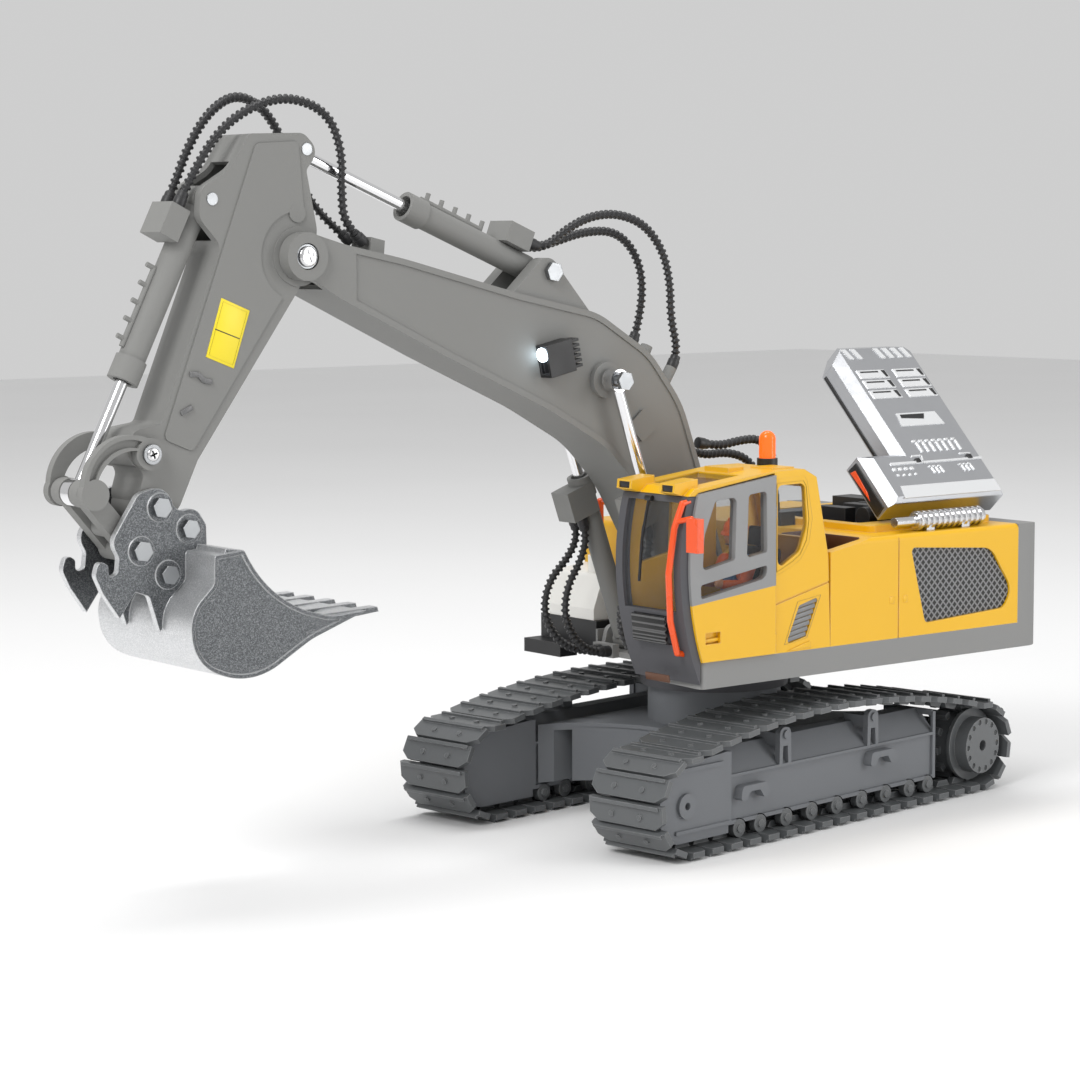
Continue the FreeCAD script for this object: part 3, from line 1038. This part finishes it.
def rocker():
    """One curved rocker, bowed away from the arm, with a round eye at each end."""
    a, b = ROCKER_PIVOT, ROD_PIN
    mid = ((a[0] + b[0]) / 2, (a[1] + b[1]) / 2)
    length = math.dist(a, b)
    away = ((a[1] - b[1]) / length, (b[0] - a[0]) / length)
    y0, y1 = ROCKER_IN, ROCKER_OUT

    def bow(rise, width):
        top = V(mid[0] + away[0] * (rise + width), y0, mid[1] + away[1] * (rise + width))
        low = V(mid[0] + away[0] * rise, y0, mid[1] + away[1] * rise)
        grow = width * 0.8
        a1 = V(a[0] - (b[0] - a[0]) / length * grow, y0, a[1] - (b[1] - a[1]) / length * grow)
        b1 = V(b[0] + (b[0] - a[0]) / length * grow, y0, b[1] + (b[1] - a[1]) / length * grow)
        outer = Part.Arc(a1, top, b1).toShape()
        inner = Part.Arc(at(b, y0), low, at(a, y0)).toShape()
        l1 = Part.LineSegment(b1, at(b, y0)).toShape()
        l2 = Part.LineSegment(at(a, y0), a1).toShape()
        return Part.Face(Part.Wire([outer, l1, inner, l2])).extrude(V(0, y1 - y0, 0))

    arch = bow(6.0, 5.2)
    arch_cut = bow(7.3, 2.6).translate(V(0, 1.8, 0))
    body = fuse([arch.cut(arch_cut), across(a, 4.9, y0, y1), across(b, 4.7, y0, y1)])
    return body.cut(across(a, PIN_RADIUS + FIT, 0, 40))


def rocker_pair():
    """Both rockers and the pin that joins them through the rod eye and the link."""
    near = rocker()
    spindle = across(ROD_PIN, PIN_RADIUS, -ROCKER_OUT, ROCKER_OUT)
    return fuse([near, mirrored(near), spindle])


LINK_SLACK = 0.9        # the link's upper eyes run loose, as the open pivot of the linkage


def h_link():
    """H-shaped link from the rocker pin to the bucket ears."""
    pieces = []
    for side in (-1, 1):
        y0 = side * 3.0
        y1 = side * 8.0
        lo, hi = min(y0, y1), max(y0, y1)
        a, b = ROD_PIN, LINK_PIN
        length = math.dist(a, b)
        n = ((b[1] - a[1]) / length * 3.2, -(b[0] - a[0]) / length * 3.2)
        web = [(a[0] + n[0], a[1] + n[1]), (b[0] + n[0], b[1] + n[1]), (b[0] - n[0], b[1] - n[1]),
               (a[0] - n[0], a[1] - n[1])]
        pieces += [side_plate(web, lo, hi), across(a, 4.3, lo, hi), across(b, 3.9, lo, hi)]
    m = along(ROD_PIN, LINK_PIN, 14.5)
    bridge = across(m, 3.0, -3.0, 3.0)
    pieces.append(bridge)
    pieces.append(across(LINK_PIN, 3.9, -3.0, 3.0))
    link = fuse(pieces)
    link = link.cut(across(ROD_PIN, PIN_RADIUS + LINK_SLACK, -20, 20))
    return link.cut(across(LINK_PIN, PIN_RADIUS + FIT, -20, 20))


EAR_IN = ARM_HALF + 0.35
EAR_BOLTS = ((227.2, 115.7), (234.9, 102.1))
EAR_SIDE = [
    (244.6, 127.6, 4.4), (235.2, 129.6, 5.6), (231.6, 121.0, 4), (224.6, 122.2, 4.4), (220.9, 116.6, 3),
    (220.8, 108.0, 0), (238.0, 84.6, 0), (241.6, 96.0, 2), (246.4, 97.6, 0), (252.0, 90.0, 0), (257.6, 98.0, 4),
    (260.2, 103.6, 3.0), (258.6, 108.4, 1.6), (255.6, 106.4, 1.2), (255.6, 102.6, 1.2), (252.4, 103.6, 1.5),
    (251.8, 108.6, 3), (254.4, 113.2, 5)]
BUCKET_SIDE = [
    (217.9, 109.8, 1.0), (228.4, 108.8, 1.0), (228.6, 100.0, 3), (237.6, 91.6, 12), (236.0, 76.0, 14),
    (216.0, 67.6, 24), (193.6, 80.2, 30), (172.8, 87.4, 0), (186.0, 86.6, 20), (208.6, 93.0, 40)]


def bucket():
    """Open bucket: curved shell between two side plates, with ears, hooks, lip and teeth."""
    outer = side_plate(BUCKET_SIDE, -BUCKET_HALF, BUCKET_HALF)
    hollow = [(205.0, 112.0), (224.6, 112.0), (224.4, 98.8, 3), (234.2, 90.4, 10), (232.8, 78.2, 12),
              (216.0, 70.4, 22), (194.4, 83.0, 30), (160.0, 93.0, 0), (160, 112.0)]
    shell = outer.cut(side_plate(hollow, -BUCKET_HALF + 2.4, BUCKET_HALF - 2.4))
    rim = side_plate(BUCKET_SIDE, BUCKET_HALF, BUCKET_HALF + 0.5).cut(
        inset(BUCKET_SIDE, 1.3, BUCKET_HALF - 1, BUCKET_HALF + 2))
    ears = []
    for centre in (BUCKET_PIVOT, LINK_PIN) + EAR_BOLTS:
        ears.append(across(centre, 4.5, EAR_IN, EAR_IN + EAR_THICK + 0.4))
    ears.append(side_plate(EAR_SIDE, EAR_IN, EAR_IN + EAR_THICK))
    saddle = side_plate([(217.9, 109.8), (224.0, 110.6), (228.6, 100.4), (227.0, 99.0)], -BUCKET_HALF, BUCKET_HALF)
    ear = fuse(ears)
    teeth = []
    for i in range(5):
        y = -BUCKET_HALF + 3.6 + i * (2 * BUCKET_HALF - 7.2) / 4
        tooth = side_plate([(186, 84.6), (166.6, 86.4), (167.2, 88.0), (188, 87.4)], y - 2.1, y + 2.1)
        teeth.append(tooth)
    body = fuse([shell, saddle, ear, mirrored(ear), rim, mirrored(rim)] + teeth)
    for centre in (BUCKET_PIVOT, LINK_PIN) + EAR_BOLTS:
        body = body.cut(across(centre, PIN_RADIUS + FIT, -40, 40))
    return body


def bucket_bolts():
    """Hexagon bolts through the bucket ears; the link pin crosses between them."""
    face = EAR_IN + EAR_THICK + 0.4
    heads = []
    for centre in EAR_BOLTS:
        shank = fuse([across(centre, PIN_RADIUS, -face, face), hexagon(centre, 3.1, face, face + 1.6),
                      hexagon(centre, 3.1, -face - 1.6, -face)])
        heads.append(shank)
    link_pin = fuse([across(LINK_PIN, PIN_RADIUS, -face, face), hexagon(LINK_PIN, 3.3, face, face + 1.6),
                     hexagon(LINK_PIN, 3.3, -face - 1.6, -face)])
    heads.append(link_pin)
    for side in (1, -1):
        y0, y1 = sorted((side * face, side * (face + 1.6)))
        heads.append(hexagon(BUCKET_PIVOT, 3.3, y0, y1))
    return heads


# ---------------------------------------------------------------- hoses
def hose(points):
    """Plain tube on straight runs joined by tangent arcs, as large as the runs allow."""
    p = [V(*q) for q in points]
    edges = []
    radii = []
    last = p[0]
    for i in range(1, len(p) - 1):
        u = p[i - 1] - p[i]
        w = p[i + 1] - p[i]
        short = min(u.Length, w.Length)
        u.normalize()
        w.normalize()
        half = u.getAngle(w) / 2
        cut = 0.45 * short
        radius = cut * math.tan(half)
        radii.append(round(radius, 1))
        bisector = (u + w).normalize()
        centre = p[i] + bisector * (radius / math.sin(half))
        start = p[i] + u * cut
        end = p[i] + w * cut
        edges.append(Part.LineSegment(last, start).toShape())
        edges.append(Part.Arc(start, centre - bisector * radius, end).toShape())
        last = end
    edges.append(Part.LineSegment(last, p[-1]).toShape())
    path = Part.Wire(edges)
    first = p[1] - p[0]
    disc = Part.Wire(Part.makeCircle(HOSE / 2, p[0], first))
    tube = path.makePipeShell([disc], True, False)
    expected = math.pi * HOSE ** 2 / 4 * path.Length
    print("   hose length", round(path.Length, 1), "volume ratio", round(tube.Volume / expected, 4), "radii", radii)
    return tube


RUN = 7.0               # straight run of a hose out of its block
BUCKET_HOSES = (
    [BUCKET_FITTING.port(-3.6, 0.0), BUCKET_FITTING.port(-3.6, 0.0, RUN), (215.8, -4.0, 232.6),
     (207.6, -4.8, 243.6), (196.4, -7.0, 249.6), (184.4, -9.6, 246.0), (175.6, -12.0, 236.0),
     (169.6, -12.6, 223.6), (162.6, -10.2, 211.4), (155.2, -3.2, 203.0)],
    [BUCKET_FITTING.port(3.6, 0.0), BUCKET_FITTING.port(3.6, 0.0, RUN), (210.6, 4.0, 236.6),
     (198.0, 4.2, 245.2), (183.4, 4.4, 248.8), (169.0, 4.6, 244.0), (164.0, 4.8, 232.0), (164.4, 4.8, 219.0),
     (163.2, 4.4, 208.2), (155.2, 3.2, 203.0)])
ARM_HOSES = (
    [ARM_FITTING.port(3.4, 0.0), ARM_FITTING.port(3.4, 0.0, RUN), (72.0, 3.8, 206.6), (61.0, 3.8, 211.4),
     (48.6, 4.0, 212.4), (36.4, 4.0, 208.6), (28.0, 4.0, 199.6), (24.6, 4.0, 188.0), (24.6, 4.2, 175.6),
     (21.0, 4.2, 163.5), (24.3, 4.2, 158.5)],
    [ARM_FITTING.port(-3.4, 0.0), ARM_FITTING.port(-3.4, 0.0, RUN), (70.6, -3.8, 202.6), (57.0, -4.2, 206.2),
     (42.4, -4.6, 206.4), (32.8, -4.8, 198.6), (29.4, -4.8, 187.0), (32.8, -4.2, 171.8), (35.5, -4.2, 166.5)])
LIFT_END = SKIRT_LOW + 2.4
LIFT_HOSES = (
    [LIFT_FITTING.port(2.4, 1.2), LIFT_FITTING.port(2.4, 1.2, RUN), (51.2, 20.2, 91.4), (60.0, 20.8, 83.4),
     (62.6, 20.8, 71.8), (55.8, 20.4, 60.8), (44.8, 20.0, LIFT_END), (FLOOR_FRONT + 3.1, 20.0, LIFT_END)],
    [LIFT_FITTING.port(-2.4, 1.2), LIFT_FITTING.port(-2.4, 1.2, RUN), (49.6, 15.2, 90.4), (56.0, 15.2, 82.0),
     (57.6, 15.2, 70.6), (51.6, 15.2, 60.8), (43.4, 15.2, LIFT_END), (FLOOR_FRONT + 3.1, 15.2, LIFT_END)])
CAB_HOSES = (
    [(11.6, 4.0, 131.4), (2.4, 4.4, 129.6), (-8.0, 4.8, 131.4), (-18.0, 4.6, 131.6), (-25.4, 4.2, 124.6),
     (MANIFOLD_X, 4.0, 115.0), (MANIFOLD_X, 4.0, DECK + 8.1)],
    [(11.0, -4.0, 128.6), (1.6, -4.2, 125.8), (-8.6, -4.4, 126.6), (-18.8, -4.4, 124.4), (-25.2, -4.2, 118.0),
     (MANIFOLD_X, -4.0, 112.4), (MANIFOLD_X, -4.0, DECK + 8.1)])


def mirrored_points(points):
    return [(x, -y, z) for x, y, z in points]


# ---------------------------------------------------------------- build
def build():
    frame = track_frame()
    belt = track_belt()
    drive = sprocket()
    wheel = idler()
    save("centre_frame", centre_frame(), True)
    save("slew_gear", slew_gear(), True)
    save("track_frame_left", frame, True)
    save("track_frame_right", mirrored(frame), True)
    save("track_belt_left", belt, True)
    save("track_belt_right", [mirrored(link) for link in belt], True)
    save("road_wheels", sum([both(w) for w in road_wheels()], []), True)
    save("sprocket_left", drive, True)
    save("sprocket_right", mirrored(drive), True)
    save("idler_left", wheel, True)
    save("idler_right", mirrored(wheel), True)
    save("drive_motors", drive_motors(), True)

    save("base_tray", switch_slot(base_tray()))
    save("upper_shell", upper_shell())
    save("side_grilles", side_grilles())
    save("hood", hood())
    save("muffler", muffler())
    save("engine_block", engine_block())
    save("step_box", step_box())
    save("washer_tank", washer_tank())
    save("grab_rail", grab_rail())
    save("cab_shell", cab_shell())
    save("cab_front", cab_front())
    save("cab_glazing", cab_glazing())
    save("cab_door", cab_door())
    save("door_glass", door_glass())
    save("wiper", wiper())
    save("handrail", handrail())
    save("seat", seat())
    save("driver", driver())
    save("beacon_base", beacon_base())
    save("beacon_lamp", beacon_lamp())
    save("battery_pack", battery_pack())
    save("circuit_board", circuit_board())
    save("slew_motor", slew_motor())
    save("power_switch", power_switch())

    half = boom_half()
    save("boom_half_left", half)
    save("boom_half_right", mirrored(half))
    save("boom_pins", boom_pins())
    save("boom_lamps", boom_lamps())
    tube, stem = boom_cylinder()
    save("lift_barrel_left", tube)
    save("lift_barrel_right", mirrored(tube))
    save("lift_rod_left", stem)
    save("lift_rod_right", mirrored(stem))
    tube, stem = arm_cylinder()
    save("arm_barrel", tube)
    save("arm_rod", stem)
    tube, stem = bucket_cylinder()
    save("bucket_barrel", tube)
    save("bucket_rod", stem)
    half = arm_half()
    save("arm_half_left", half)
    save("arm_half_right", mirrored(half))
    save("arm_pins", arm_pins())
    save("rocker_pair", rocker_pair())
    save("h_link", h_link())
    save("bucket", bucket())
    save("bucket_bolts", bucket_bolts())

    save("bucket_hoses", [hose(points) for points in BUCKET_HOSES])
    save("arm_hoses", [hose(points) for points in ARM_HOSES])
    save("lift_hoses_left", [hose(points) for points in LIFT_HOSES])
    save("lift_hoses_right", [hose(mirrored_points(points)) for points in LIFT_HOSES])
    save("cab_hoses", [hose(points) for points in CAB_HOSES])


build()
